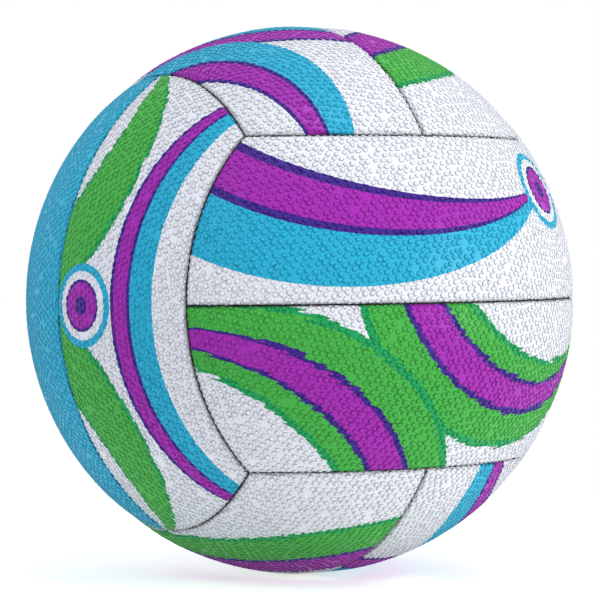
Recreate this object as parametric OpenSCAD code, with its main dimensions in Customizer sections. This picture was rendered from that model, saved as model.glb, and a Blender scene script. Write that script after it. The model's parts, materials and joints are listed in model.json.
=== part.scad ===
// Netball, size 5, hand stitched from twelve equal panels.
// Each face of an imagined cube is blown up onto the ball and split in two strips, so that a
// face's middle seam always runs at right angles to those of the four faces round it.
// Origin at the ball's centre, +Z up, front towards -Y. Millimetres.

/* [Ball] */
// Distance round the ball, measured over the grip
girth = 700; // [690:1:710]
// How far the rolled edge of a panel would stand proud of the surfaces that it runs into
roll_crest = 0.06; // [0.04:0.01:0.1]

/* [Cover] */
// Thickness of the moulded rubber, with its grip
rubber_t = 1.2; // [1.1:0.05:1.3]
// Thickness of the woven lining behind the rubber
lining_t = 0.8; // [0.6:0.05:0.9]
// Thickness of the glue between rubber and lining
glue_t = 0.05; // [0.03:0.01:0.08]
// Radius with which the rubber turns in at a seam
roll_r = 2.5; // [2.4:0.1:3]
// Depth of the turned-in edges below the outside of the ball
seam_depth = 5.2; // [5.1:0.1:5.8]
// Gap between the two turned-in edges of a seam
seam_gap = 0.1; // [0.06:0.02:0.2]
// Angle by which the turned-in edges of an outer seam lean away from the ball's centre
seam_lean = 2; // [1.5:0.1:3]

/* [Stitching] */
// Diameter of the waxed thread
thread_d = 0.8; // [0.6:0.05:0.9]
// Clearance of the thread from the cloth and round each hole
thread_clear = 0.05; // [0.03:0.01:0.08]
// Distance between stitch holes along a seam
stitch_pitch = 7; // [6:0.5:9]
// Depth of the stitch holes below the outside of the ball
stitch_depth = 4.3; // [4.2:0.05:4.4]
// Thickness of the thread where a hole squeezes it, as a share of its diameter
squeeze_share = 0.85; // [0.7:0.05:0.9]

/* [Bladder] */
// Wall of the bladder
bladder_t = 0.5; // [0.4:0.05:0.6]
// Gap between the bladder and the cover around it
bladder_clear = 0.3; // [0.2:0.05:0.35]
// Radius with which the bladder turns down beside a seam
bladder_roll = 1; // [0.8:0.1:1.5]

/* [Valve] */
// Diameter of the valve's head in the cover
valve_head_d = 8; // [7:0.5:10]
// Gap all round the head in the cover
valve_head_clear = 0.3; // [0.2:0.05:0.5]
// Depth of the head below the outside of the ball
valve_recess = 0.7; // [0.5:0.1:1]
// Diameter of the valve's flange inside the bladder
valve_flange_d = 24; // [20:1:30]
// Thickness of the valve's flange
valve_flange_t = 1; // [0.8:0.1:1.5]
// Length of the valve's stem below its flange
valve_stem_l = 11; // [10:0.5:14]
// Diameter of the valve's stem at its lower end
valve_tip_d = 6.4; // [6.2:0.1:7]
// Diameter of the core that seals the valve
core_d = 4.4; // [4:0.1:5]
// Diameter of the core's collar
core_collar_d = 5.6; // [5.4:0.1:6.5]
// Height of the core's collar
core_collar_h = 0.8; // [0.6:0.1:1.2]
// Length of the core, with its collar
core_l = 13; // [12:0.5:13]
// Gap between the pieces of the valve where they press together
valve_fit = 0.05; // [0.03:0.01:0.08]
// Diameter of the needle's channel
needle_d = 2.2; // [2:0.1:2.4]
// Straight length of the needle's channel
needle_l = 9; // [8:0.5:9.5]
// Diameter of the funnel that guides the needle in
funnel_d = 3.6; // [3.2:0.1:3.8]
// Diameter of the patch that strengthens the bladder round the valve
patch_d = 38; // [32:1:42]
// Thickness of the patch
patch_t = 0.5; // [0.4:0.1:0.8]

/* [Hidden] */
cover_white = "#F3F3F1";
cover_blue = "#2FB9E2";
lining_cotton = "#E6E0CF";
thread_black = "#26262A";
bladder_black = "#3A3634";
valve_black = "#1E1E20";
core_grey = "#4A4C50";
patch_brown = "#6E5A48";

$fn = 96;
// Facets of a thread and of its holes
thread_fn = 16;
// Extra length that a cut runs past what it cuts
overrun = 1;

ball_r = girth / (2 * PI);
reach = 2 * ball_r;
thread_r = thread_d / 2;

// Elevation of a strip's outer seam above its middle seam, seen from the ball's centre
edge_el = asin(1 / sqrt(3));
// Each kind of seam: its elevation on the ball and the lean of its turned-in edges
MIDDLE = [0, 0];
EDGE = [edge_el, seam_lean];
// Half the length of a strip, as an angle: on its middle seam and on its outer seam
middle_half = 90 - edge_el;
edge_half = 45;
strip_span = 2 * middle_half + edge_el;

laminate_t = rubber_t + glue_t + lining_t;
lining_top = rubber_t + glue_t;
half_gap = seam_gap / 2;
seam_floor_r = ball_r - seam_depth;

// The thread runs along both sides of the turned-in edges and crosses them at each hole
run_offset = half_gap + laminate_t + thread_clear + thread_r;
thread_end = run_offset + 2 * thread_d;
cross_r = thread_r * squeeze_share;
hole_r = cross_r + thread_clear;

// Angles about the seam's own axis at which the stitches cross it
middle_end = middle_half - degrees_of(thread_end, ring_r(MIDDLE));
middle_count = round(2 * middle_end / degrees_of(stitch_pitch, ring_r(MIDDLE)));
middle_stitches = [for (i = [0:middle_count]) middle_end * (2 * i / middle_count - 1)];
edge_start = degrees_of(thread_end, ring_r(EDGE));
edge_end = edge_half - edge_start;
edge_count = round((edge_end - edge_start) / degrees_of(stitch_pitch, ring_r(EDGE)));
edge_stitches = [for (i = [0:edge_count]) edge_start + (edge_end - edge_start) * i / edge_count];

bladder_side = run_offset + thread_r + bladder_clear;
bladder_top = laminate_t + bladder_clear;
bladder_floor_r = seam_floor_r - bladder_clear;

// Heights along the valve's axis, from the ball's centre
patch_out_r = ball_r - bladder_top - bladder_t - valve_fit;
flange_out_r = patch_out_r - patch_t - valve_fit;
head_top = ball_r - valve_recess;
head_r = valve_head_d / 2;
stem_end = flange_out_r - valve_flange_t - valve_stem_l;
valve_el = edge_el / 2;

// Turns that carry the rear face to the faces behind, on top and at the right,
// and then the first strip of a pair of faces to the other three
FACE_TURNS = [[0, 0, 0], [90, 0, 90], [-90, -90, 0]];
HALF_TURNS = [[0, 0, 0], [180, 0, 0], [0, 180, 0], [0, 0, 180]];

function degrees_of(length, radius) = length / radius * 180 / PI;

// A seam is drawn along +X, with the ball's centre at the origin. Its height is how far its
// leaning wall passes above the centre, and stitch_x is how far out its stitches lie.
function seam_angle(seam) = seam[0] + seam[1];
function seam_height(seam) = -ball_r * sin(seam[1]);
function stitch_x(seam) = ball_r * cos(seam[1]) - stitch_depth;
function ring_r(seam) = stitch_x(seam) * cos(seam_angle(seam)) - seam_height(seam) * sin(seam_angle(seam));

module turned(face, half) rotate(FACE_TURNS[face]) rotate(HALF_TURNS[half]) children();

module on_valve_axis() rotate([valve_el - 90, 0, 0]) children();

// All that a panel above a seam leaves empty: the far side of the seam and what its own
// rolled edge doesn't fill.
module beyond_seam(height, side, top, roll) {
  from_seam = height + side + roll - roll_crest;
  from_centre = ball_r - top - roll + roll_crest;
  translate([0, height + side - reach])
    square([2 * reach, reach]);
  translate([sqrt(pow(from_centre, 2) - pow(from_seam, 2)), from_seam])
    difference() {
      translate([0, -2 * roll])
        square(2 * roll);
      circle(roll);
    }
}

// Section through a strip, from its middle seam up to its outer seam.
module strip_section(side, top, roll, floor_r) {
  difference() {
    circle(ball_r - top);
    circle(floor_r);
    translate([-2 * reach, -reach])
      square(2 * reach);
    beyond_seam(seam_height(MIDDLE), side, top, roll);
    rotate(seam_angle(EDGE))
      mirror([0, 1])
        beyond_seam(-seam_height(EDGE), side, top, roll);
  }
}

// Section through what the ends of a strip are cut to, about the axis of its face.
module end_section(side, top, roll, floor_r) {
  difference() {
    square(reach);
    circle(floor_r - overrun);
    rotate(seam_angle(EDGE))
      beyond_seam(seam_height(EDGE), side, top, roll);
  }
}

// The upper rear strip as a solid block with rolled edges, drawn in from its seams by side
// and from the outside of the ball by top.
module strip_block(side, top, roll, floor_r) {
  intersection() {
    rotate(90 - strip_span / 2)
      rotate_extrude(angle = strip_span)
        strip_section(side, top, roll, floor_r);
    rotate([-90, 0, 0])
      rotate(90)
        rotate_extrude()
          end_section(side, top, roll, floor_r);
  }
}

// Short cylinders across a seam, at the given angles about the seam's axis.
module crossings(seam, angles, radius) {
  for (a = angles)
    rotate(a)
      rotate([0, -seam_angle(seam), 0])
        translate([stitch_x(seam), 0, seam_height(seam)])
          cylinder(r = radius, h = 2 * run_offset, center = true, $fn = thread_fn);
}

// The stitch holes along all four edges of the upper rear strip.
module strip_holes() {
  rotate(90) {
    crossings(MIDDLE, middle_stitches, hole_r);
    crossings(EDGE, concat(edge_stitches, -edge_stitches), hole_r);
  }
  rotate([-90, 0, 0])
    crossings(EDGE, concat(-edge_stitches, [for (a = edge_stitches) 180 + a]), hole_r);
}

// A layer of the cover: a shell of even thickness whose edges turn in at the seams.
module strip_layer(top, thickness, has_valve) {
  difference() {
    strip_block(half_gap + top, top, roll_r - top, seam_floor_r);
    strip_block(half_gap + top + thickness, top + thickness, roll_r - top - thickness,
      seam_floor_r - overrun);
    strip_holes();
    if (has_valve)
      on_valve_axis()
        cylinder(r = head_r + valve_head_clear, h = ball_r + overrun);
  }
}

module panel(face, half, paint, has_valve = false) {
  color(paint)
    turned(face, half)
      strip_layer(0, rubber_t, has_valve);
}

module lining(face, half, has_valve = false) {
  color(lining_cotton)
    turned(face, half)
      strip_layer(lining_top, lining_t, has_valve);
}

// A run of thread beside a seam, between two angles about the seam's axis.
module thread_run(seam, side, from, to) {
  overhang = degrees_of(thread_r, ring_r(seam));
  rotate(from - overhang)
    rotate_extrude(angle = to - from + 2 * overhang)
      rotate(seam_angle(seam))
        translate([stitch_x(seam), seam_height(seam) + side * run_offset])
          circle(thread_r, $fn = thread_fn);
}

// Thread of a middle seam, here the rear one.
module middle_stitching(face, half) {
  color(thread_black)
    turned(face, half)
      rotate(90) {
        thread_run(MIDDLE, 1, -middle_end, middle_end);
        thread_run(MIDDLE, -1, -middle_end, middle_end);
        crossings(MIDDLE, middle_stitches, cross_r);
      }
}

// Thread of an outer seam, here between the rear and top faces. Above the seam it stops at
// both sides of the top face's middle seam, whose turned-in edges end there.
module edge_stitching(face, half) {
  color(thread_black)
    turned(face, half)
      rotate(90) {
        thread_run(EDGE, -1, -edge_end, edge_end);
        thread_run(EDGE, 1, edge_start, edge_end);
        thread_run(EDGE, 1, -edge_end, -edge_start);
        crossings(EDGE, concat(edge_stitches, -edge_stitches), cross_r);
      }
}

// The space that the bladder fills: the ball inside the seams, with a cushion behind each panel.
module bladder_space(inset) {
  on_valve_axis()
    sphere(bladder_floor_r - inset);
  for (face = [0:2], half = [0:3])
    turned(face, half)
      strip_block(bladder_side + inset, bladder_top + inset, bladder_roll - inset,
        bladder_floor_r - inset - overrun);
}

module rear_upper_panel() { panel(0, 0, cover_white, has_valve = true); }
module front_lower_panel() { panel(0, 1, cover_white); }
module rear_lower_panel() { panel(0, 2, cover_white); }
module front_upper_panel() { panel(0, 3, cover_white); }
module top_right_panel() { panel(1, 0, cover_white); }
module bottom_left_panel() { panel(1, 1, cover_white); }
module top_left_panel() { panel(1, 2, cover_white); }
module bottom_right_panel() { panel(1, 3, cover_white); }
module right_rear_panel() { panel(2, 0, cover_white); }
module left_front_panel() { panel(2, 1, cover_white); }
module right_front_panel() { panel(2, 2, cover_white); }
module left_rear_panel() { panel(2, 3, cover_blue); }

module rear_upper_lining() { lining(0, 0, has_valve = true); }
module front_lower_lining() { lining(0, 1); }
module rear_lower_lining() { lining(0, 2); }
module front_upper_lining() { lining(0, 3); }
module top_right_lining() { lining(1, 0); }
module bottom_left_lining() { lining(1, 1); }
module top_left_lining() { lining(1, 2); }
module bottom_right_lining() { lining(1, 3); }
module right_rear_lining() { lining(2, 0); }
module left_front_lining() { lining(2, 1); }
module right_front_lining() { lining(2, 2); }
module left_rear_lining() { lining(2, 3); }

module rear_middle_stitching() { middle_stitching(0, 0); }
module front_middle_stitching() { middle_stitching(0, 3); }
module top_middle_stitching() { middle_stitching(1, 0); }
module bottom_middle_stitching() { middle_stitching(1, 3); }
module right_middle_stitching() { middle_stitching(2, 0); }
module left_middle_stitching() { middle_stitching(2, 3); }

module rear_top_stitching() { edge_stitching(0, 0); }
module front_bottom_stitching() { edge_stitching(0, 1); }
module rear_bottom_stitching() { edge_stitching(0, 2); }
module front_top_stitching() { edge_stitching(0, 3); }
module right_top_stitching() { edge_stitching(1, 0); }
module left_bottom_stitching() { edge_stitching(1, 1); }
module left_top_stitching() { edge_stitching(1, 2); }
module right_bottom_stitching() { edge_stitching(1, 3); }
module right_rear_stitching() { edge_stitching(2, 0); }
module left_front_stitching() { edge_stitching(2, 1); }
module right_front_stitching() { edge_stitching(2, 2); }
module left_rear_stitching() { edge_stitching(2, 3); }

// The air-tight bladder as it lies when blown up, with the seams pressed into it.
module bladder() {
  color(bladder_black)
    difference() {
      bladder_space(0);
      bladder_space(bladder_t);
      on_valve_axis()
        cylinder(r = head_r + valve_fit, h = ball_r);
    }
}

// A round piece of a shell about the ball's centre.
module dished_disc(outer_r, thickness, diameter) {
  intersection() {
    difference() {
      sphere(outer_r);
      sphere(outer_r - thickness);
    }
    cylinder(d = diameter, h = reach);
  }
}

// Round patch glued inside the bladder, with a hole for the valve.
module valve_patch() {
  color(patch_brown)
    on_valve_axis()
      difference() {
        dished_disc(patch_out_r, patch_t, patch_d);
        cylinder(r = head_r + valve_fit, h = reach);
      }
}

// Moulded rubber valve: a head in the cover, a flange on the patch and a stem below it.
module valve_body() {
  seat = core_collar_h + valve_fit;
  color(valve_black)
    on_valve_axis()
      difference() {
        union() {
          dished_disc(flange_out_r, valve_flange_t, valve_flange_d);
          translate([0, 0, stem_end + valve_stem_l / 2])
            cylinder(r = head_r, h = head_top - stem_end - valve_stem_l / 2);
          translate([0, 0, stem_end])
            cylinder(d1 = valve_tip_d, d2 = valve_head_d, h = valve_stem_l / 2);
        }
        translate([0, 0, head_top - seat])
          cylinder(d = core_collar_d + 2 * valve_fit, h = seat + overrun);
        translate([0, 0, head_top - core_l - valve_fit])
          cylinder(d = core_d + 2 * valve_fit, h = core_l + overrun);
      }
}

// Soft core pressed into the valve: a funnel, the needle's channel and a closed lower end
// that the needle pushes open.
module valve_core() {
  funnel_h = (funnel_d - needle_d) / 2;
  color(core_grey)
    on_valve_axis()
      translate([0, 0, head_top])
        difference() {
          union() {
            translate([0, 0, -core_collar_h])
              cylinder(d = core_collar_d, h = core_collar_h);
            translate([0, 0, -core_l])
              cylinder(d = core_d, h = core_l - core_collar_h / 2);
          }
          translate([0, 0, -funnel_h])
            cylinder(d1 = needle_d, d2 = funnel_d, h = funnel_h);
          translate([0, 0, -funnel_h - needle_l])
            cylinder(d = needle_d, h = needle_l + funnel_h / 2);
        }
}

rear_upper_panel();
front_lower_panel();
rear_lower_panel();
front_upper_panel();
top_right_panel();
bottom_left_panel();
top_left_panel();
bottom_right_panel();
right_rear_panel();
left_front_panel();
right_front_panel();
left_rear_panel();
rear_upper_lining();
front_lower_lining();
rear_lower_lining();
front_upper_lining();
top_right_lining();
bottom_left_lining();
top_left_lining();
bottom_right_lining();
right_rear_lining();
left_front_lining();
right_front_lining();
left_rear_lining();
rear_middle_stitching();
front_middle_stitching();
top_middle_stitching();
bottom_middle_stitching();
right_middle_stitching();
left_middle_stitching();
rear_top_stitching();
front_bottom_stitching();
rear_bottom_stitching();
front_top_stitching();
right_top_stitching();
left_bottom_stitching();
left_top_stitching();
right_bottom_stitching();
right_rear_stitching();
left_front_stitching();
right_front_stitching();
left_rear_stitching();
bladder();
valve_patch();
valve_body();
valve_core();
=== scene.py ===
"""Netball with twelve printed rubber panels, whose pebble grip and rolled seams are modelled."""

import json
import math

import bpy
import numpy as np
from bpy.props import FloatProperty, FloatVectorProperty, IntProperty, PointerProperty
from mathutils import Euler, Matrix, Vector


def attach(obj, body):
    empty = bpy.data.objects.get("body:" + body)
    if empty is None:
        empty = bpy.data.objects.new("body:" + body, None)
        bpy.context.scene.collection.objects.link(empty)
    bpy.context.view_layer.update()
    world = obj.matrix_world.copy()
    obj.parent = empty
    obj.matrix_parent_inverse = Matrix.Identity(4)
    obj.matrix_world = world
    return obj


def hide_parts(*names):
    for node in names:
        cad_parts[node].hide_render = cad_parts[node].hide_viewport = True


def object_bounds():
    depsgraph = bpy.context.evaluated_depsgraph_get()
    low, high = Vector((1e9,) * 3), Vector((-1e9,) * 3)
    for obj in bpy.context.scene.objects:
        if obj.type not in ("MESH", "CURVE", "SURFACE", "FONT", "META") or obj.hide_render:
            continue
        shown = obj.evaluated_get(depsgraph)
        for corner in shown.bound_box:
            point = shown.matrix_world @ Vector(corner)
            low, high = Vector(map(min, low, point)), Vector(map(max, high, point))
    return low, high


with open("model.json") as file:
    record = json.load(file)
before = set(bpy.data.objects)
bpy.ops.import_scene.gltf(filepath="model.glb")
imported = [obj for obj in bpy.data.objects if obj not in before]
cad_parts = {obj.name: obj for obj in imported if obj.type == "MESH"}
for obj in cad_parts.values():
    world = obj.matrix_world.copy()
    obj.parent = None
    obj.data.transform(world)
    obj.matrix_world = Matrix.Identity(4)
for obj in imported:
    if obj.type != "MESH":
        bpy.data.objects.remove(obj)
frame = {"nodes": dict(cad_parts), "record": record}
cad_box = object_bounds()

bl_info = {
    "name": "Netball",
    "version": (1, 0, 0),
    "blender": (4, 5, 0),
    "location": "3D View > Sidebar > Netball",
    "description": "Adds the cover, the inner pieces' materials and the studio of a netball",
    "category": "Object",
}

MM = 0.001
MOUNTS = {mount["name"]: mount for mount in frame["record"]["mounts"]}
BALL_R = -MOUNTS["ring_seat"]["pos_m"][2]
# Elevation of a strip's outer seam above its middle seam, as in the frame
EDGE_EL = math.asin(1 / math.sqrt(3))

# Turns that carry the upper rear strip to every other one, in degrees, as in the frame
FACE_TURNS = ((0, 0, 0), (90, 0, 90), (-90, -90, 0))
HALF_TURNS = ((0, 0, 0), (180, 0, 0), (0, 180, 0), (0, 0, 180))

# Reach of a panel's flat sheet below, above and beside its middle, with room to trim
SHEET_LOW = -36 * MM
SHEET_HIGH = 50 * MM
SHEET_HALF_L = 110 * MM

# Distance from a panel's end, in rolls, within which its points bend towards the end's seam
END_ROLLS = 5
# How tightly two rolled edges meet in a corner
CORNER_POWER = 4
# Share of a quarter turn past which an edge counts as turned straight down
DOWN_SHARE = 0.99

# Lengths of the waves in which the rows of pebbles wander, each this many times its sway
ROW_WAVES = (46 * MM, 23 * MM, 13 * MM)
WAVE_PER_SWAY = 50
# Smallest and largest pebble, as shares of the diameter and of the height
PEBBLE_D_RANGE = (0.88, 1.1)
PEBBLE_H_RANGE = (0.8, 1)
# Share of the pebbles that are missing
MISSING_SHARE = 0.015
# Seeds of the pebbles' places, of a smooth skin's points, and of the pebbles' sizes and heights
GRIP_SEED, PLAIN_SEED, SIZE_SEED, HEIGHT_SEED = 11, 13, 12, 13

# Places between a pebble's top, at 0, and the border with its neighbour, at 1, and where they are
# drawn to, from its top at 0 to its foot at 1
RING_SHARES = (0, 0.4, 0.65, 0.8)
FOOT_SHARES = (0, 0.68, 1, 1.02)
# How flat a pebble's top is: 2 is a half round
PEBBLE_POWER = 3
# Angles of an edge's turn into its seam between which the pebbles are pressed flat
PRESSED_TURN = (1.2, 1.57)

# Height of the smooth ring round the valve, as a share of a pebble's height
RING_H_SHARE = 0.75
# Where the grip starts and the ring ends, from the ring's radius, and where the ring rises, from
# the hole's radius
GRIP_START = (-0.4 * MM, 0.8 * MM)
RING_END = (-2 * MM, -0.4 * MM)
RING_RISE = (-0.5 * MM, 0.6 * MM)

# How much taller the pebbles are in their shading than in their shape
GRIP_SHADING = 3.6
# How far each corner's shading is taken inside its face, as a share of the way to the middle
SHADED_INSIDE = 0.35
# Points nearer than this are in the same place
SAME_PLACE = MM / 100
# Least distance from a pebble's top that is divided by
LEAST_DISTANCE = MM / 1000

# Each strip: its face, its half and its print
STRIPS = {
    "rear_upper": (0, 0, "cup"),
    "front_lower": (0, 1, "leaf"),
    "rear_lower": (0, 2, "leaf"),
    "front_upper": (0, 3, "cup"),
    "top_right": (1, 0, "fan"),
    "bottom_left": (1, 1, "fan"),
    "top_left": (1, 2, "crest"),
    "bottom_right": (1, 3, "crest"),
    "right_rear": (2, 0, "stream"),
    "left_front": (2, 1, "stream"),
    "right_front": (2, 2, "plain_white"),
    "left_rear": (2, 3, "plain_blue"),
}


def linear(hex_colour):
    """Turns an sRGB hex colour to linear."""
    shares = [int(hex_colour[i:i + 2], 16) / 255 for i in (1, 3, 5)]
    return [s / 12.92 if s <= 0.04045 else ((s + 0.055) / 1.055) ** 2.4 for s in shares]


def colour_property(name, description, default):
    """A colour that a user may change, given as sRGB hex."""
    return FloatVectorProperty(
        name=name, description=description, default=linear(default), subtype="COLOR", min=0, max=1
    )


def length_property(name, description, default):
    """A length that a user may change, given in millimetres."""
    return FloatProperty(name=name, description=description, default=default * MM, unit="LENGTH", min=0)


class NetballCover(bpy.types.PropertyGroup):
    """Sizes of the rubber panels."""

    pebble_pitch: length_property("Pebble pitch", "Mean distance between two pebbles", 2.85)
    pebble_d: length_property("Pebble diameter", "Mean diameter of a pebble at its foot", 2.15)
    pebble_h: length_property("Pebble height", "Height of the tallest pebbles", 0.43)
    pebble_stray: length_property("Pebble stray", "Furthest that a pebble lies from its row", 0.43)
    pebble_cuts: IntProperty(
        name="Pebble cuts", description="Cuts of each mesh edge between two pebbles",
        default=4, min=1, max=6,
    )
    plain_pitch: length_property("Plain pitch", "Distance between two mesh points of a smooth skin", 5)
    rubber_t: length_property("Rubber", "Thickness of a panel with its grip", 1.2)
    glue_t: length_property("Glue", "Thickness of the glue between rubber and lining", 0.05)
    lining_t: length_property("Lining", "Thickness of the woven lining", 0.8)
    roll_r: length_property("Roll", "Radius with which the inner layers turn in at a seam", 2.5)
    outer_roll_r: length_property("Outer roll", "Radius with which the outside turns in at a seam", 1.6)
    seam_depth: length_property("Seam depth", "Depth of the turned-in edges", 5.2)
    half_gap: length_property("Half gap", "Half the gap between two turned-in edges", 0.05)
    seam_lean: FloatProperty(
        name="Seam lean", description="Lean of the turned-in edges of an outer seam",
        default=math.radians(2), unit="ROTATION",
    )
    puff: length_property("Puff", "How far a panel's middle stands above its edges", 0.5)
    puff_reach: length_property("Puff reach", "Distance from a seam over which the panel rises", 15)
    valve_hole_d: length_property("Valve hole", "Diameter of the hole for the valve", 8.6)
    valve_ring_d: length_property("Valve ring", "Diameter of the smooth ring round the valve", 14)


class NetballColours(bpy.types.PropertyGroup):
    """Colours of the cover and its print, and of the shade painted on the pebbles' sides and in the seams.
    """

    white: colour_property("White", "Bare rubber", "#F2F4F5")
    # Painted shade: the darker colour of the pebbles' steep sides on bare rubber, where their shade falls
    side_shade: colour_property("Side shade", "Sides of the pebbles on bare rubber", "#E0E2E6")
    sky: colour_property("Sky blue", "Sky blue ink", "#27B6D6")
    purple: colour_property("Purple", "Purple ink", "#AA28B2")
    green: colour_property("Green", "Green ink", "#46B546")
    violet: colour_property("Violet", "Dark edging of the purple ink", "#40208A")
    emerald: colour_property("Emerald", "Dark edging of the green ink", "#14A458")
    # Painted shade: near black down in the seams, where the groove is in shade
    seam: colour_property("Seam", "Cut and glued edges down in a seam", "#202023")


class NetballStudio(bpy.types.PropertyGroup):
    """Camera and lamps."""

    distance: FloatProperty(
        name="Camera distance", description="From the ball's centre", default=1.138, unit="LENGTH"
    )
    azimuth: FloatProperty(
        name="Azimuth", description="Camera's turn about the ball", default=math.radians(-32.08),
        unit="ROTATION",
    )
    elevation: FloatProperty(
        name="Elevation", description="Camera's height as an angle", default=math.radians(0.99),
        unit="ROTATION",
    )
    roll: FloatProperty(
        name="Roll", description="Camera's roll", default=math.radians(-0.64), unit="ROTATION"
    )
    lens: FloatProperty(name="Lens", description="Focal length", default=167.3, unit="CAMERA")
    key_power: FloatProperty(name="Key", description="Power of the key lamp", default=9.5, unit="POWER")
    top_power: FloatProperty(name="Top", description="Power of the lamp above", default=6.6, unit="POWER")
    fill_power: FloatProperty(name="Fill", description="Power of the fill lamp", default=3, unit="POWER")
    ambient: FloatProperty(name="Ambient", description="Light from the white surroundings", default=0.55)


def only(piece):
    """Selects one object alone and makes it active."""
    bpy.ops.object.select_all(action="DESELECT")
    piece.select_set(True)
    bpy.context.view_layer.objects.active = piece


def read_points(mesh):
    """The mesh's points as rows."""
    points = np.empty(len(mesh.vertices) * 3)
    mesh.vertices.foreach_get("co", points)
    return points.reshape(-1, 3)


def write_points(mesh, points):
    """Moves the mesh's points to the rows given."""
    mesh.vertices.foreach_set("co", np.asarray(points, float).ravel())
    mesh.update()


def loop_points(mesh):
    """For each face corner, the number of its point."""
    numbers = np.empty(len(mesh.loops), int)
    mesh.loops.foreach_get("vertex_index", numbers)
    return numbers


def sheet_places(mesh):
    """Each point's place on the flat sheet, kept in the print map."""
    uv = np.empty(len(mesh.loops) * 2)
    mesh.uv_layers["print"].data.foreach_get("uv", uv)
    places = np.zeros((len(mesh.vertices), 2))
    places[loop_points(mesh)] = uv.reshape(-1, 2)
    return places


def select_rim():
    """In edit mode, selects the open edges."""
    bpy.ops.mesh.select_mode(type="EDGE")
    bpy.ops.mesh.select_all(action="DESELECT")
    bpy.ops.mesh.select_non_manifold(
        use_wire=False, use_boundary=True, use_multi_face=False, use_non_contiguous=False, use_verts=False
    )


def picked(elements):
    """Which points or edges are selected, after edit mode."""
    flags = np.empty(len(elements), bool)
    elements.foreach_get("select", flags)
    return flags


def pick_rim(mesh, cover, near_valve):
    """Selects the open edges round the valve's hole, or all other open edges. A ragged hole
    reaches no further than twice its diameter."""
    bpy.ops.object.mode_set(mode="EDIT")
    select_rim()
    bpy.ops.object.mode_set(mode="OBJECT")
    ends = np.empty(len(mesh.edges) * 2, int)
    mesh.edges.foreach_get("vertices", ends)
    ends = ends.reshape(-1, 2)
    at_valve = np.hypot(*sheet_places(mesh).T)[ends].max(axis=1) < 2 * cover.valve_hole_d
    rim = picked(mesh.edges) & (at_valve == near_valve)
    points = np.zeros(len(mesh.vertices), bool)
    points[ends[rim]] = True
    mesh.edges.foreach_set("select", rim)
    mesh.vertices.foreach_set("select", points)
    mesh.update()
    bpy.ops.object.mode_set(mode="EDIT")


def directions(places):
    """Unit vectors from the ball's centre through places on the flat sheet, which is wrapped
    round the ball with its middle on the strip's middle."""
    turn, lift = (places / BALL_R).T
    x, y, z = -np.sin(turn) * np.cos(lift), np.cos(turn) * np.cos(lift), np.sin(lift)
    tilt = EDGE_EL / 2
    return np.column_stack((
        x,
        y * math.cos(tilt) - z * math.sin(tilt),
        y * math.sin(tilt) + z * math.cos(tilt),
    ))


def seam_distances(places):
    """Distances along the ball from the strip's middle seam, outer seam and ends."""
    x, y, z = directions(places).T
    return (
        BALL_R * np.arcsin(z),
        BALL_R * (EDGE_EL - np.arcsin(z)),
        BALL_R * (np.arcsin(y) - EDGE_EL),
    )


def smooth(low, high, values):
    """Rises smoothly from 0 to 1 between low and high."""
    t = np.clip((values - low) / (high - low), 0, 1)
    return t * t * (3 - 2 * t)


def formed(places, inset, cover, roll, rim=False):
    """Places of the flat sheet on the ball, with the edges rolled in at the seams. The inset is
    the depth of each point below the outside of the panel, and the roll is the radius with which
    that outside turns in. A rim lies at the seams' full depth."""
    x, y, z = directions(places).T
    lean = math.sin(cover.seam_lean)
    slip, drop, rest = [], [], []
    for distance, seam_lean in zip(seam_distances(places), (0, lean, -lean)):
        rest.append(distance - cover.half_gap)
        turn = np.clip((roll - rest[-1]) / roll, 0, math.pi / 2)
        side = np.where(rest[-1] < roll, roll - (roll - inset) * np.sin(turn), rest[-1])
        depth = roll - (roll - inset) * np.cos(turn) - inset
        if rim:
            depth = np.where(turn > DOWN_SHARE * math.pi / 2, cover.seam_depth - inset, depth)
        slip.append(side + seam_lean * depth + cover.half_gap)
        drop.append(depth)
    middle, outer, ends = slip
    new_z = np.where(rest[0] < rest[1], np.sin(middle / BALL_R), np.sin(EDGE_EL - outer / BALL_R))
    along = y * np.sqrt((1 - new_z ** 2) / (1 - z ** 2))
    near_end = 1 - smooth(roll, END_ROLLS * roll, rest[2])
    new_y = along * (1 - near_end) + np.sin(EDGE_EL + ends / BALL_R) * near_end
    new_x = np.sign(x) * np.sqrt(np.clip(1 - new_y ** 2 - new_z ** 2, 0, 1))
    nearest = np.min(rest, axis=0)
    if rim:
        depth = np.full(len(x), cover.seam_depth)
    else:
        depth = inset + sum(d ** CORNER_POWER for d in drop) ** (1 / CORNER_POWER)
        depth = depth + cover.puff * (1 - smooth(-roll, cover.puff_reach, nearest))
    points = np.column_stack((new_x, new_y, new_z)) * (BALL_R - depth)[:, None]
    return points, nearest


def sheet_grid(pitch):
    """Columns, rows, row height and middle height of the flat sheet's grid."""
    row_h = pitch * math.sqrt(3) / 2
    columns = math.ceil(2 * SHEET_HALF_L / pitch)
    rows = math.ceil((SHEET_HIGH - SHEET_LOW) / row_h)
    return columns, rows, row_h, (SHEET_LOW + SHEET_HIGH) / 2


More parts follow.
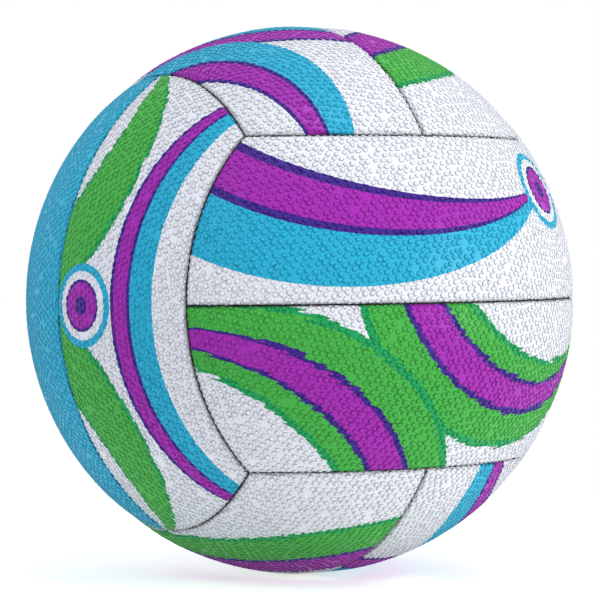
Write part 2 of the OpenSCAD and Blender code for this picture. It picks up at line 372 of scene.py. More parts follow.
def add_sheet(name, cover, pitch, cuts, seed, roll):
    """Adds the flat sheet of one panel as a grid whose points are the places of the pebbles,
    cuts its faces finer, wraps it round the ball and trims it. Returns it and the pebbles."""
    columns, rows, row_h, middle = sheet_grid(pitch)
    bpy.ops.object.select_all(action="DESELECT")
    bpy.ops.mesh.primitive_grid_add(x_subdivisions=columns, y_subdivisions=rows, size=1)
    sheet = bpy.context.active_object
    sheet.name = name
    mesh = sheet.data
    bpy.ops.object.mode_set(mode="EDIT")
    bpy.ops.mesh.select_all(action="SELECT")
    bpy.ops.transform.resize(value=(columns * pitch, rows * row_h, 1))
    bpy.ops.object.mode_set(mode="OBJECT")
    points = read_points(mesh)
    row = np.rint(points[:, 1] / row_h + rows / 2)
    points[:, 0] += np.where(row % 2, pitch / 4, -pitch / 4)
    points[:, 1] += middle
    points[:, :2] += strayed(points, cover, seed)
    write_points(mesh, points)
    bpy.ops.object.mode_set(mode="EDIT")
    bpy.ops.mesh.quads_convert_to_tris(quad_method="SHORTEST_DIAGONAL", ngon_method="BEAUTY")
    if cuts:
        bpy.ops.mesh.subdivide(number_cuts=cuts)
    bpy.ops.object.mode_set(mode="OBJECT")
    places = read_points(mesh)[:, :2]
    if cuts:
        places = gathered(places, points, cover)
    mesh.uv_layers[0].name = "print"
    mesh.uv_layers["print"].data.foreach_set("uv", places[loop_points(mesh)].ravel())
    write_points(mesh, directions(places) * BALL_R)
    trim(cover, roll)
    return sheet, points


def strayed(points, cover, seed):
    """How far each pebble lies from its place in a regular row: rows wander and pebbles stray."""
    draw = np.random.default_rng(seed)
    stray = draw.uniform(-1, 1, (len(points), 2)) * cover.pebble_stray
    for wave in ROW_WAVES:
        heading, phase = draw.uniform(0, 2 * math.pi, 2)
        travel = points[:, 0] * math.cos(heading) + points[:, 1] * math.sin(heading)
        sway = np.sin(2 * math.pi * travel / wave + phase) * wave / WAVE_PER_SWAY
        stray += np.column_stack((-math.sin(heading) * sway, math.cos(heading) * sway))
    return stray


def cut_planes(turn, cover, roll):
    """Planes through the ball where the panel's edge has turned by an angle, for each seam."""
    reach = (cover.half_gap + roll - roll * turn) / BALL_R
    return (
        ((0, 0, BALL_R * math.sin(reach)), (0, 0, -1)),
        ((0, 0, BALL_R * math.sin(EDGE_EL - reach)), (0, 0, 1)),
        ((0, BALL_R * math.sin(EDGE_EL + reach), 0), (0, -1, 0)),
    )


def trim(cover, roll):
    """Cuts the sheet off where its edges have turned straight down."""
    bpy.ops.object.mode_set(mode="EDIT")
    for place, normal in cut_planes(math.pi / 2, cover, roll):
        bpy.ops.mesh.select_all(action="SELECT")
        bpy.ops.mesh.bisect(plane_co=place, plane_no=normal, clear_outer=True)
    bpy.ops.object.mode_set(mode="OBJECT")


def open_valve_hole(mesh, cover):
    """Cuts the round hole for the valve in the middle of the sheet."""
    hole_r = cover.valve_hole_d / 2
    bpy.ops.object.mode_set(mode="EDIT")
    bpy.ops.mesh.select_mode(type="VERT")
    bpy.ops.mesh.select_all(action="DESELECT")
    bpy.ops.object.mode_set(mode="OBJECT")
    mesh.vertices.foreach_set("select", np.hypot(*sheet_places(mesh).T) < hole_r)
    bpy.ops.object.mode_set(mode="EDIT")
    bpy.ops.mesh.delete(type="VERT")
    bpy.ops.object.mode_set(mode="OBJECT")
    pick_rim(mesh, cover, near_valve=True)
    bpy.ops.object.mode_set(mode="OBJECT")
    places = sheet_places(mesh)
    ring = picked(mesh.vertices)
    places[ring] *= (hole_r / np.hypot(*places[ring].T))[:, None]
    mesh.uv_layers["print"].data.foreach_set("uv", places[loop_points(mesh)].ravel())
    write_points(mesh, directions(places) * BALL_R)


def nearest_pebbles(places, pebbles, cover, count):
    """Numbers of the nearest pebbles to each place, and their distances. They are sought up to
    two rows and columns away, which is further than a pebble strays."""
    columns, rows, row_h, middle = sheet_grid(cover.pebble_pitch)
    column = np.rint(places[:, 0] / cover.pebble_pitch + columns / 2)
    row = np.rint((places[:, 1] - middle) / row_h + rows / 2)
    steps = [(across, up) for across in range(-2, 3) for up in range(-2, 3)]
    numbers = np.column_stack([
        np.clip(row + up, 0, rows) * (columns + 1) + np.clip(column + across, 0, columns)
        for across, up in steps]).astype(int)
    numbers = np.sort(numbers, axis=1)
    distances = np.hypot(*(pebbles[numbers, axis] - places[:, axis, None] for axis in (0, 1)))
    # A pebble at the sheet's edge that was found twice is put a metre away the second time
    distances[:, 1:][numbers[:, 1:] == numbers[:, :-1]] = 1
    order = np.argsort(distances, axis=1)[:, :count]
    return np.take_along_axis(numbers, order, 1), np.take_along_axis(distances, order, 1)


def pebble_radii(pebbles, cover):
    """Radius of each pebble at its foot."""
    draw = np.random.default_rng(SIZE_SEED)
    return cover.pebble_d / 2 * draw.uniform(*PEBBLE_D_RANGE, len(pebbles))


def gathered(places, pebbles, cover):
    """Draws the sheet's points out from each pebble's top to its shoulder and foot, where its
    side is steep."""
    numbers, distances = nearest_pebbles(places, pebbles, cover, 2)
    border = distances.mean(axis=1)
    radius = pebble_radii(pebbles, cover)[numbers[:, 0]]
    share = distances[:, 0] / border
    drawn = np.interp(share, RING_SHARES, FOOT_SHARES) * radius
    beyond = np.clip((share - RING_SHARES[-1]) / (1 - RING_SHARES[-1]), 0, 1)
    drawn = drawn * (1 - beyond) + border * beyond
    centres = pebbles[numbers[:, 0], :2]
    stretch = drawn / np.maximum(distances[:, 0], LEAST_DISTANCE)
    return centres + (places - centres) * stretch[:, None]


def pebble_heights(places, pebbles, cover):
    """Share of the pebbles' height at each place, from 0 in the valleys to 1 on the tallest."""
    draw = np.random.default_rng(HEIGHT_SEED)
    tops = draw.uniform(*PEBBLE_H_RANGE, len(pebbles))
    tops[draw.random(len(pebbles)) < MISSING_SHARE] = 0
    numbers, distances = nearest_pebbles(places, pebbles, cover, 1)
    owner = numbers[:, 0]
    share = np.clip(distances[:, 0] / pebble_radii(pebbles, cover)[owner], 0, 1)
    return tops[owner] * np.sqrt(1 - share ** PEBBLE_POWER)


def skin_form(places, pebbles, cover, has_valve, lift=1):
    """The outside of a panel at places on the flat sheet: its points, how far each lies from
    the seams, and the grip's height there. The lift makes the grip taller."""
    grip = pebble_heights(places, pebbles, cover)
    roll = cover.outer_roll_r
    turn = np.clip(1 - (np.min(seam_distances(places), axis=0) - cover.half_gap) / roll, 0, 2)
    # The pebbles are pressed flat on their way down into a seam
    pressed = 1 - smooth(*PRESSED_TURN, turn)
    ring = np.zeros(len(places))
    if has_valve:
        from_valve = np.hypot(*places.T)
        grip *= smooth(*GRIP_START, from_valve - cover.valve_ring_d / 2)
        ring = RING_H_SHARE * (1 - smooth(*RING_END, from_valve - cover.valve_ring_d / 2))
        ring *= smooth(*RING_RISE, from_valve - cover.valve_hole_d / 2)
    inset = lift * cover.pebble_h * pressed * (1 - np.maximum(grip, ring))
    points, nearest = formed(places, inset, cover, roll)
    return points, nearest, grip * pressed


def skin_normals(places, pebbles, cover, has_valve):
    """The way the outside faces at places on the flat sheet, from points a short step around.
    The grip is shaded steeper than it is, as the pebbles' sides are in the photo."""
    step = 0.05 * MM
    around = [skin_form(places + shift, pebbles, cover, has_valve, GRIP_SHADING)[0]
              for shift in ((step, 0), (-step, 0), (0, step), (0, -step))]
    normals = np.cross(around[2] - around[3], around[0] - around[1])
    normals *= np.sign(np.sum(normals * around[0], axis=1))[:, None]
    return normals / np.linalg.norm(normals, axis=1)[:, None]


def set_attribute(mesh, name, values):
    """Keeps one number for each point, for the materials."""
    mesh.attributes.new(name, "FLOAT", "POINT").data.foreach_set("value", values.astype(np.float32))


def extrude_rim(mesh, cover, inset, roll, near_valve):
    """Draws the open edges down: the outline to the seams' full depth, or the valve's hole
    through the rubber."""
    pick_rim(mesh, cover, near_valve)
    bpy.ops.mesh.extrude_edges_move()
    bpy.ops.object.mode_set(mode="OBJECT")
    rim = picked(mesh.vertices)
    points = read_points(mesh)
    places = sheet_places(mesh)[rim]
    if near_valve:
        points[rim] = directions(places) * (BALL_R - cover.rubber_t)
    else:
        points[rim] = formed(places, np.full(len(places), inset), cover, roll, rim=True)[0]
    write_points(mesh, points)


def add_skin(name, cover, has_valve):
    """The outside of a panel, with its grip."""
    roll = cover.outer_roll_r
    skin, pebbles = add_sheet(name, cover, cover.pebble_pitch, cover.pebble_cuts, GRIP_SEED, roll)
    mesh = skin.data
    if has_valve:
        open_valve_hole(mesh, cover)
    places = sheet_places(mesh)
    points, nearest, grip = skin_form(places, pebbles, cover, has_valve)
    write_points(mesh, points)
    set_attribute(mesh, "pebble", grip)
    set_attribute(mesh, "from_seam", nearest)
    if has_valve:
        extrude_rim(mesh, cover, 0, roll, near_valve=True)
    extrude_rim(mesh, cover, 0, roll, near_valve=False)
    return skin, pebbles


def shade_grip(mesh, pebbles, cover, has_valve):
    """Shades the outside from the grip's own form: each corner of a face takes the way that the
    form faces a little inside that face, so that a pebble's foot stays crisp."""
    formed_points = skin_form(sheet_places(mesh), pebbles, cover, has_valve)[0]
    outside = np.linalg.norm(formed_points - read_points(mesh), axis=1) < SAME_PLACE
    outside = outside[loop_points(mesh).reshape(-1, 3)].all(axis=1)
    places = np.empty(len(mesh.loops) * 2)
    mesh.uv_layers["print"].data.foreach_get("uv", places)
    places = places.reshape(-1, 3, 2)[outside]
    inner = places + (places.mean(axis=1, keepdims=True) - places) * SHADED_INSIDE
    normals = np.empty(len(mesh.loops) * 3)
    mesh.corner_normals.foreach_get("vector", normals)
    normals = normals.reshape(-1, 3, 3)
    normals[outside] = skin_normals(inner.reshape(-1, 2), pebbles, cover, has_valve).reshape(-1, 3, 3)
    mesh.normals_split_custom_set(normals.reshape(-1, 3).tolist())


def add_plain_skin(name, cover, inset, has_valve):
    """A smooth skin at a depth below the outside, whose faces are larger."""
    skin, _ = add_sheet(name, cover, cover.plain_pitch, 0, PLAIN_SEED, cover.roll_r)
    mesh = skin.data
    if has_valve:
        open_valve_hole(mesh, cover)
    bpy.ops.object.mode_set(mode="EDIT")
    for turn in (0, math.pi / 4):
        for place, normal in cut_planes(turn, cover, cover.roll_r):
            bpy.ops.mesh.select_all(action="SELECT")
            bpy.ops.mesh.bisect(plane_co=place, plane_no=normal)
    bpy.ops.object.mode_set(mode="OBJECT")
    places = sheet_places(mesh)
    points, nearest = formed(places, np.full(len(places), inset), cover, cover.roll_r)
    write_points(mesh, points)
    set_attribute(mesh, "pebble", np.zeros(len(places)))
    set_attribute(mesh, "from_seam", nearest)
    extrude_rim(mesh, cover, inset, cover.roll_r, near_valve=False)
    return skin


def close_skins(outer, inner, cover, has_valve):
    """Joins an outer and an inner skin into one closed piece, in triangles."""
    mesh = outer.data
    only(inner)
    bpy.ops.object.mode_set(mode="EDIT")
    bpy.ops.mesh.select_all(action="SELECT")
    bpy.ops.mesh.flip_normals()
    bpy.ops.object.mode_set(mode="OBJECT")
    only(outer)
    inner.select_set(True)
    bpy.ops.object.join()
    for near_valve in ((True, False) if has_valve else (False,)):
        pick_rim(mesh, cover, near_valve)
        bpy.ops.mesh.bridge_edge_loops()
        bpy.ops.object.mode_set(mode="OBJECT")
    bpy.ops.object.mode_set(mode="EDIT")
    bpy.ops.mesh.select_all(action="SELECT")
    bpy.ops.mesh.quads_convert_to_tris(quad_method="SHORTEST_DIAGONAL", ngon_method="BEAUTY")
    bpy.ops.mesh.delete_loose()
    bpy.ops.mesh.select_all(action="SELECT")
    bpy.ops.mesh.normals_make_consistent(inside=False)
    bpy.ops.object.mode_set(mode="OBJECT")
    bpy.ops.object.shade_smooth()


def add_panel(name, cover, has_valve):
    """One closed rubber panel at the place of the upper rear strip."""
    back = add_plain_skin(name + "_back", cover, cover.rubber_t, has_valve)
    panel, pebbles = add_skin(name, cover, has_valve)
    close_skins(panel, back, cover, has_valve)
    shade_grip(panel.data, pebbles, cover, has_valve)
    return panel


def add_lining(name, cover, has_valve):
    """One closed lining behind a rubber panel, at the place of the upper rear strip."""
    outer_inset = cover.rubber_t + cover.glue_t
    back = add_plain_skin(name + "_back", cover, outer_inset + cover.lining_t, has_valve)
    lining = add_plain_skin(name, cover, outer_inset, has_valve)
    close_skins(lining, back, cover, has_valve)
    return lining


def strip_turn(face, half):
    """Matrix that carries the upper rear strip to another one."""
    turns = [Euler([math.radians(a) for a in angles]).to_matrix() for angles in
             (FACE_TURNS[face], HALF_TURNS[half])]
    return (turns[0] @ turns[1]).to_4x4()


def add(tree, kind, inputs=None, **settings):
    """Adds a node with its settings, and gives its inputs a value or a link."""
    node = tree.nodes.new(kind)
    for name, value in settings.items():
        setattr(node, name, value)
    for socket, value in (inputs or {}).items():
        if isinstance(value, bpy.types.NodeSocket):
            tree.links.new(value, node.inputs[socket])
        else:
            node.inputs[socket].default_value = value
    return node


def new_material(name):
    """An empty material with an output. Returns it, its tree and the output."""
    material = bpy.data.materials.new(name)
    material.use_nodes = True
    material.node_tree.nodes.clear()
    return material, material.node_tree, add(material.node_tree, "ShaderNodeOutputMaterial")


def rgba(colour):
    """A colour with full cover."""
    return (*colour, 1)


# Rings of a rosette: the radius in millimetres at which each ink starts, and its own at the end
RINGS = ((0, "violet"), (3.5, "purple"), (9, "violet"), (10.2, "white"), (13.5, "sky"), (16.5, ""))
# Stripes of a green sweep, as shares of its width
GREEN = ((0, "emerald"), (0.08, "green"), (0.93, "emerald"))
GREEN_AND_PURPLE = ((0, "emerald"), (0.07, "green"), (0.38, "violet"), (0.43, "purple"), (0.7, "violet"),
                    (0.75, "green"), (0.94, "emerald"))

# Each print is a list of shapes on the flat panel, in millimetres, u to the right and v up as
# seen from outside with the panel's outer seam on top. A sweep lies inside the first circle
# and outside the second, and its inks share its width. A rosette has rings round one centre.
PRINTS = {
    "cup": (
        ("sweep", (-30, 92, 118), (10, 134, 128), (
            (0, "sky"), (0.5, "violet"), (0.57, "purple"), (0.92, "violet"))),
        ("rosette", (64, 16), RINGS),
    ),
    "leaf": (
        ("brushed sweep", (-44, -64, 92), (-76, -92, 88), GREEN_AND_PURPLE),
        ("brushed sweep", (74, 58, 86), (112, 92, 90), GREEN_AND_PURPLE),
    ),
    "fan": (
        ("brushed sweep", (-10, -70, 104), (-34, -92, 92), (
            (0, "emerald"), (0.06, "green"), (0.5, "violet"), (0.56, "purple"), (0.94, "violet"))),
        ("brushed sweep", (-92, 84, 86), (-122, 104, 80), GREEN),
    ),
    "crest": (
        ("sweep", (40, -60, 92), (60, -84, 84), (
            (0, "violet"), (0.07, "purple"), (0.42, "violet"), (0.49, "sky"))),
        ("sweep", (-56, 96, 98), (-80, 124, 100), (
            (0, "sky"), (0.53, "violet"), (0.6, "purple"), (0.93, "violet"))),
    ),
    "stream": (
        ("sweep", (0, 150, 150), (0, 216, 196), (
            (0, "violet"), (0.08, "purple"), (0.4, "violet"), (0.48, "sky"))),
        ("brushed sweep", (-62, -56, 62), (-86, -80, 66), GREEN),
        ("brushed sweep", (62, -56, 62), (86, -80, 66), GREEN),
        ("rosette", (0, -17), RINGS),
    ),
    "plain_white": (),
    "plain_blue": (),
}


def printed_rubber(name, print_name, colours):
    """Natural rubber, moulded with a pebble grip and screen printed before the ball is sewn:
    even, slightly soft inks with crisp edges or edges as of a dry brush, a low sheen that
    breaks up on each pebble, and painted shade on the pebbles' sides and into the seams."""
    material, tree, output = new_material(name)
    where = add(tree, "ShaderNodeUVMap", uv_map="print").outputs["UV"]
    brushed = dry_brush(tree, where)
    sides = pebble_sides(tree)
    # On bare rubber the pebbles' steep sides take a darker colour as painted shade
    grounds = (colours.sky, colours.sky) if print_name == "plain_blue" else (colours.white, colours.side_shade)
    ink = add(tree, "ShaderNodeMix", {"Factor": sides, "A": rgba(grounds[0]), "B": rgba(grounds[1])},
              data_type="RGBA").outputs["Result"]
    for kind, *shape in PRINTS[print_name]:
        if kind == "rosette":
            away = distance_from(tree, where, shape[0])
            size = shape[1][-1][0] * MM
            across = add(tree, "ShaderNodeMath", {0: away, 1: size}, operation="DIVIDE").outputs[0]
            cover = add(tree, "ShaderNodeMath", {0: across, 1: 1}, operation="LESS_THAN").outputs[0]
            stops = [(start * MM / size, colour) for start, colour in shape[1][:-1]]
        else:
            across, cover = sweep(tree, where if kind == "sweep" else brushed, *shape[:2])
            stops = shape[2]
        ramp = add(tree, "ShaderNodeValToRGB", {"Fac": across})
        set_stops(ramp.color_ramp, stops, colours)
        ink = add(tree, "ShaderNodeMix", {"Factor": cover, "A": ink, "B": ramp.outputs["Color"]},
                  data_type="RGBA").outputs["Result"]
    # Painted shade on the pebbles' sides, towards the seams and down in them
    ink = painted_shade(tree, ink, sides, colours)
    grain = add(tree, "ShaderNodeTexNoise", {
        "Vector": add(tree, "ShaderNodeTexCoord").outputs["Object"], "Scale": 1 / (0.5 * MM), "Detail": 3})
    bump = add(tree, "ShaderNodeBump", {
        "Height": grain.outputs["Fac"], "Strength": 0.25, "Distance": 0.05 * MM})
    gloss = add(tree, "ShaderNodeMapRange", {
        "Value": grain.outputs["Fac"], "From Min": 0.3, "From Max": 0.7, "To Min": 0.38, "To Max": 0.5})
    shader = add(tree, "ShaderNodeBsdfPrincipled", {
        "Base Color": ink, "Roughness": gloss.outputs["Result"], "IOR": 1.5,
        "Specular IOR Level": 0.25, "Normal": bump.outputs["Normal"]})
    tree.links.new(shader.outputs["BSDF"], output.inputs["Surface"])
    return material


def dry_brush(tree, where):
    """The flat place moved up and down in streaks 13 mm long and 1.5 mm apart, so that an edge
    drawn there looks brushed."""
    streaks = add(tree, "ShaderNodeVectorMath", {0: where, 1: (1 / (13 * MM), 1 / (1.5 * MM), 0)},
                  operation="MULTIPLY").outputs[0]
    ragged = add(tree, "ShaderNodeTexNoise", {"Vector": streaks, "Scale": 1, "Detail": 1}).outputs["Fac"]
    lift = add(tree, "ShaderNodeMapRange", {
        "Value": ragged, "From Min": 0.3, "From Max": 0.7, "To Min": -1.1 * MM, "To Max": 1.1 * MM},
        clamp=False).outputs["Result"]
    shift = add(tree, "ShaderNodeCombineXYZ", {"Y": lift}).outputs["Vector"]
    return add(tree, "ShaderNodeVectorMath", {0: where, 1: shift}, operation="ADD").outputs[0]


def distance_from(tree, where, centre):
    """Distance of the flat place from a centre given in millimetres."""
    return add(tree, "ShaderNodeVectorMath", {0: where, 1: (centre[0] * MM, centre[1] * MM, 0)},
               operation="DISTANCE").outputs["Value"]


def sweep(tree, where, outside, inside):
    """Place across a crescent between two circles, from 0 to 1, and whether it is in it."""
    depth = add(tree, "ShaderNodeMath", {0: outside[2] * MM, 1: distance_from(tree, where, outside)},
                operation="SUBTRACT").outputs[0]
    rest = add(tree, "ShaderNodeMath", {0: distance_from(tree, where, inside), 1: inside[2] * MM},
               operation="SUBTRACT").outputs[0]
    width = add(tree, "ShaderNodeMath", {0: depth, 1: rest}, operation="ADD").outputs[0]
    across = add(tree, "ShaderNodeMath", {0: depth, 1: width}, operation="DIVIDE").outputs[0]
    least = add(tree, "ShaderNodeMath", {0: depth, 1: rest}, operation="MINIMUM").outputs[0]
    cover = add(tree, "ShaderNodeMath", {0: least, 1: 0}, operation="GREATER_THAN").outputs[0]
    return across, cover


def set_stops(ramp, stops, colours):
    """Gives a ramp plain stripes of ink."""
    ramp.interpolation = "CONSTANT"
    while len(ramp.elements) > 1:
        ramp.elements.remove(ramp.elements[-1])
    for number, (start, colour) in enumerate(stops):
        stop = ramp.elements[0] if number == 0 else ramp.elements.new(start)
        stop.position = start
        stop.color = rgba(getattr(colours, colour))


def pebble_sides(tree):
    """Where shade is painted: 1 on the steep sides of the pebbles, and 0 on their tops and on the ground
    between.
    """
    grip = add(tree, "ShaderNodeAttribute", attribute_name="pebble").outputs["Fac"]
    rise = add(tree, "ShaderNodeMapRange", {
        "Value": grip, "From Min": 0, "From Max": 0.06, "To Min": 0, "To Max": 1}).outputs["Result"]
    fall = add(tree, "ShaderNodeMapRange", {
        "Value": grip, "From Min": 0.45, "From Max": 0.78, "To Min": 1, "To Max": 0}).outputs["Result"]
    return add(tree, "ShaderNodeMath", {0: rise, 1: fall}, operation="MULTIPLY").outputs[0]


def painted_shade(tree, ink, sides, colours):
    """The ink with painted shade: darker on the steep sides of the pebbles and towards the seams,
    and near black down in them."""
    # Painted shade on the pebbles' steep sides
    shade = add(tree, "ShaderNodeMapRange", {
        "Value": sides, "From Min": 0, "From Max": 1, "To Min": 1, "To Max": 0.72}).outputs["Result"]
    shaded_ink = add(tree, "ShaderNodeVectorMath", {0: ink, "Scale": shade}, operation="SCALE").outputs[0]
    away = add(tree, "ShaderNodeAttribute", attribute_name="from_seam").outputs["Fac"]
    # Painted shade that darkens the ink towards each seam
    edge = add(tree, "ShaderNodeMapRange", {
        "Value": away, "From Min": -0.4 * MM, "From Max": 0.8 * MM, "To Min": 0.6, "To Max": 1},
        interpolation_type="SMOOTHSTEP").outputs["Result"]
    shaded_ink = add(tree, "ShaderNodeVectorMath", {0: shaded_ink, "Scale": edge}, operation="SCALE").outputs[0]
    # Painted shade: the seam colour, near black, down in the seams
    deep = add(tree, "ShaderNodeMapRange", {
        "Value": away, "From Min": -0.7 * MM, "From Max": -0.25 * MM, "To Min": 1, "To Max": 0},
        interpolation_type="SMOOTHSTEP").outputs["Result"]
    return add(tree, "ShaderNodeMix", {"Factor": deep, "A": shaded_ink, "B": rgba(colours.seam)},
               data_type="RGBA").outputs["Result"]


def woven_cotton():
    """Cotton and polyester duck, woven and dipped in latex: a plain weave that shows as small
    squares, with a matt, slightly yellow surface."""
    material, tree, output = new_material("woven_cotton_lining")
    where = add(tree, "ShaderNodeTexCoord").outputs["Object"]
    # Real threads are half a millimetre apart, and these are 2 mm apart, so that they show
    warp = add(tree, "ShaderNodeTexWave", {"Vector": where, "Scale": 1 / (6.3 * MM), "Distortion": 0.4},
               bands_direction="X")
    weft = add(tree, "ShaderNodeTexWave", {"Vector": where, "Scale": 1 / (6.3 * MM), "Distortion": 0.4},
               bands_direction="Z")
    weave = add(tree, "ShaderNodeMath", {0: warp.outputs["Fac"], 1: weft.outputs["Fac"]},
                operation="MULTIPLY").outputs[0]
    fleck = add(tree, "ShaderNodeTexNoise", {"Vector": where, "Scale": 1 / (8 * MM), "Detail": 4})
    shade = add(tree, "ShaderNodeMath", {0: weave, 1: fleck.outputs["Fac"]}, operation="MULTIPLY")
    colour = add(tree, "ShaderNodeMix", {
        "Factor": shade.outputs[0], "A": rgba(linear("#CFC6AE")), "B": rgba(linear("#EFE9DA"))},
        data_type="RGBA").outputs["Result"]
    bump = add(tree, "ShaderNodeBump", {"Height": weave, "Strength": 0.6, "Distance": 0.15 * MM})
    shader = add(tree, "ShaderNodeBsdfPrincipled", {
        "Base Color": colour, "Roughness": 0.9, "IOR": 1.5, "Normal": bump.outputs["Normal"]})
    tree.links.new(shader.outputs["BSDF"], output.inputs["Surface"])
    return material


def waxed_thread():
    """Polyester cord, twisted and waxed: near black, with a slant of fine ply lines and a
    low waxy sheen."""
    material, tree, output = new_material("waxed_polyester_thread")
    where = add(tree, "ShaderNodeTexCoord").outputs["Object"]
    ply = add(tree, "ShaderNodeTexWave", {"Vector": where, "Scale": 1 / (4 * MM), "Distortion": 1.5},
              bands_direction="DIAGONAL")
    colour = add(tree, "ShaderNodeMix", {
        "Factor": ply.outputs["Fac"], "A": rgba(linear("#1B1B1F")), "B": rgba(linear("#34343A"))},
        data_type="RGBA").outputs["Result"]
    bump = add(tree, "ShaderNodeBump", {
        "Height": ply.outputs["Fac"], "Strength": 0.5, "Distance": 0.1 * MM})
    shader = add(tree, "ShaderNodeBsdfPrincipled", {
        "Base Color": colour, "Roughness": 0.45, "IOR": 1.5, "Normal": bump.outputs["Normal"]})
    tree.links.new(shader.outputs["BSDF"], output.inputs["Surface"])
    return material


def soft_rubber(name, dark, pale, roughness, dust):
    """Soft vulcanised rubber, moulded or dipped: one deep colour with a bloom of paler dust in
    uneven clouds and a fine grain. Dust is the share of the bloom that shows."""
    material, tree, output = new_material(name)
    where = add(tree, "ShaderNodeTexCoord").outputs["Object"]
    cloud = add(tree, "ShaderNodeTexNoise", {"Vector": where, "Scale": 1 / (14 * MM), "Detail": 5})
    bloom = add(tree, "ShaderNodeMapRange", {
        "Value": cloud.outputs["Fac"], "From Min": 0.35, "From Max": 0.75, "To Min": 0, "To Max": dust})
    colour = add(tree, "ShaderNodeMix", {
        "Factor": bloom.outputs["Result"], "A": rgba(linear(dark)), "B": rgba(linear(pale))},
        data_type="RGBA").outputs["Result"]
    grain = add(tree, "ShaderNodeTexNoise", {"Vector": where, "Scale": 1 / (0.4 * MM), "Detail": 2})
    bump = add(tree, "ShaderNodeBump", {
        "Height": grain.outputs["Fac"], "Strength": 0.3, "Distance": 0.04 * MM})
    shader = add(tree, "ShaderNodeBsdfPrincipled", {
        "Base Color": colour, "Roughness": roughness, "IOR": 1.52, "Normal": bump.outputs["Normal"]})
    tree.links.new(shader.outputs["BSDF"], output.inputs["Surface"])
    return material


def dress(names, material):
    """Gives CAD nodes a material."""
    for name in names:
        node = frame["nodes"][name]
        node.data.materials.clear()
        node.data.materials.append(material)


def place_pieces(patterns, endings, material_of, slot_of):
    """Puts a copy of a pattern at each strip, the one with the valve's hole at the upper rear
    one, in place of the strip's CAD node. The patterns are plain and with the hole, and the
    endings are those of the pieces' and of the nodes' names."""
    for name, (face, half, print_name) in STRIPS.items():
        mesh = patterns[name == "rear_upper"].data.copy()
        mesh.transform(strip_turn(face, half))
        mesh.materials.clear()
        mesh.materials.append(material_of(name, print_name))
        piece = bpy.data.objects.new(f"{name}_{endings[0]}", mesh)
        bpy.context.scene.collection.objects.link(piece)
        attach(piece, "root")
        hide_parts(f"{name}_{endings[1]}")
        slot_of(print_name)
    for pattern in patterns:
        bpy.data.objects.remove(pattern)


class NETBALL_OT_cover(bpy.types.Operator):
    """Add the twelve printed rubber panels with their pebble grip and rolled edges"""

    bl_idname = "netball.cover"
    bl_label = "Cover panels"
    bl_options = {"REGISTER", "UNDO"}

    def execute(self, context):
        cover, colours = context.scene.netball_cover, context.scene.netball_colours
        patterns = [add_panel("panel_pattern", cover, has_valve) for has_valve in (False, True)]
        place_pieces(
            patterns, ("cover", "panel"),
            lambda name, print_name: printed_rubber(f"printed_rubber_{name}", print_name, colours),
            lambda print_name: "cover_blue" if print_name == "plain_blue" else "cover_white",
        )
        return {"FINISHED"}


class NETBALL_OT_linings(bpy.types.Operator):
    """Add the twelve woven linings behind the panels"""

    bl_idname = "netball.linings"
    bl_label = "Linings"
    bl_options = {"REGISTER", "UNDO"}

    def execute(self, context):
        cover = context.scene.netball_cover
        cotton = woven_cotton()
        patterns = [add_lining("lining_pattern", cover, has_valve) for has_valve in (False, True)]
        place_pieces(patterns, ("cloth", "lining"), lambda name, print_name: cotton,
                     lambda print_name: "lining_cloth")
        return {"FINISHED"}


class NETBALL_OT_stitching(bpy.types.Operator):
    """Give the stitching its waxed thread"""

    bl_idname = "netball.stitching"
    bl_label = "Stitching"
    bl_options = {"REGISTER", "UNDO"}

    def execute(self, context):
        dress([name for name in frame["nodes"] if name.endswith("_stitching")], waxed_thread())
        return {"FINISHED"}


class NETBALL_OT_bladder(bpy.types.Operator):
    """Give the bladder, its patch and the valve their rubbers"""

    bl_idname = "netball.bladder"
    bl_label = "Bladder and valve"
    bl_options = {"REGISTER", "UNDO"}

    def execute(self, context):
        dress(["bladder"], soft_rubber("dipped_butyl_bladder", "#2A2725", "#8C8782", 0.5, 0.35))
        dress(["valve_patch"], soft_rubber("cured_latex_patch", "#5E4A3A", "#A08E7A", 0.7, 0.4))
        dress(["valve_body"], soft_rubber("moulded_valve_rubber", "#17171A", "#5A5A5E", 0.45, 0.15))
        dress(["valve_core"], soft_rubber("moulded_core_rubber", "#3F4146", "#83868C", 0.5, 0.2))
        return {"FINISHED"}


def camera_axes(azimuth, elevation, roll):
    """Right, up and back of a camera that looks at the ball's centre."""
    back = Vector((
        math.sin(azimuth) * math.cos(elevation),
        -math.cos(azimuth) * math.cos(elevation),
        math.sin(elevation),
    ))
    right = Vector((0, 0, 1)).cross(back).normalized()
    up = back.cross(right)
    return (right * math.cos(roll) + up * math.sin(roll),
            up * math.cos(roll) - right * math.sin(roll), back)


def add_lamp(name, axes, place, size, power, colour="#FFFFFF"):
    """Adds a square soft lamp that points at the ball. Its place is right, up and back of it."""
    spot = sum((axis * length for axis, length in zip(axes, place)), Vector())
    bpy.ops.object.light_add(type="AREA", location=spot, rotation=spot.to_track_quat("Z", "Y").to_euler())
    lamp = bpy.context.active_object
    lamp.name = name
    lamp.data.size = size
    lamp.data.energy = power
    lamp.data.color = linear(colour)


def seen_rays(tree):
    """1 for rays that show the background: the camera's, mirrored and passed-through ones."""
    path = add(tree, "ShaderNodeLightPath").outputs
    seen = add(tree, "ShaderNodeMath", {0: path["Is Camera Ray"], 1: path["Is Glossy Ray"]},
               operation="ADD")
    return add(tree, "ShaderNodeMath", {0: seen.outputs[0], 1: path["Is Transmission Ray"]},
               operation="ADD", use_clamp=True).outputs[0]


# What the camera sees of the paper beyond its own light, and the weak glow that the ball gets
PAPER_LIFT = 0.6
PAPER_GLOW = 0.12
FLOOR_L = 8
SENSOR_W_MM = 36
# Light of the surroundings and of the fill lamp
COOL_WHITE = "#ECEFFF"


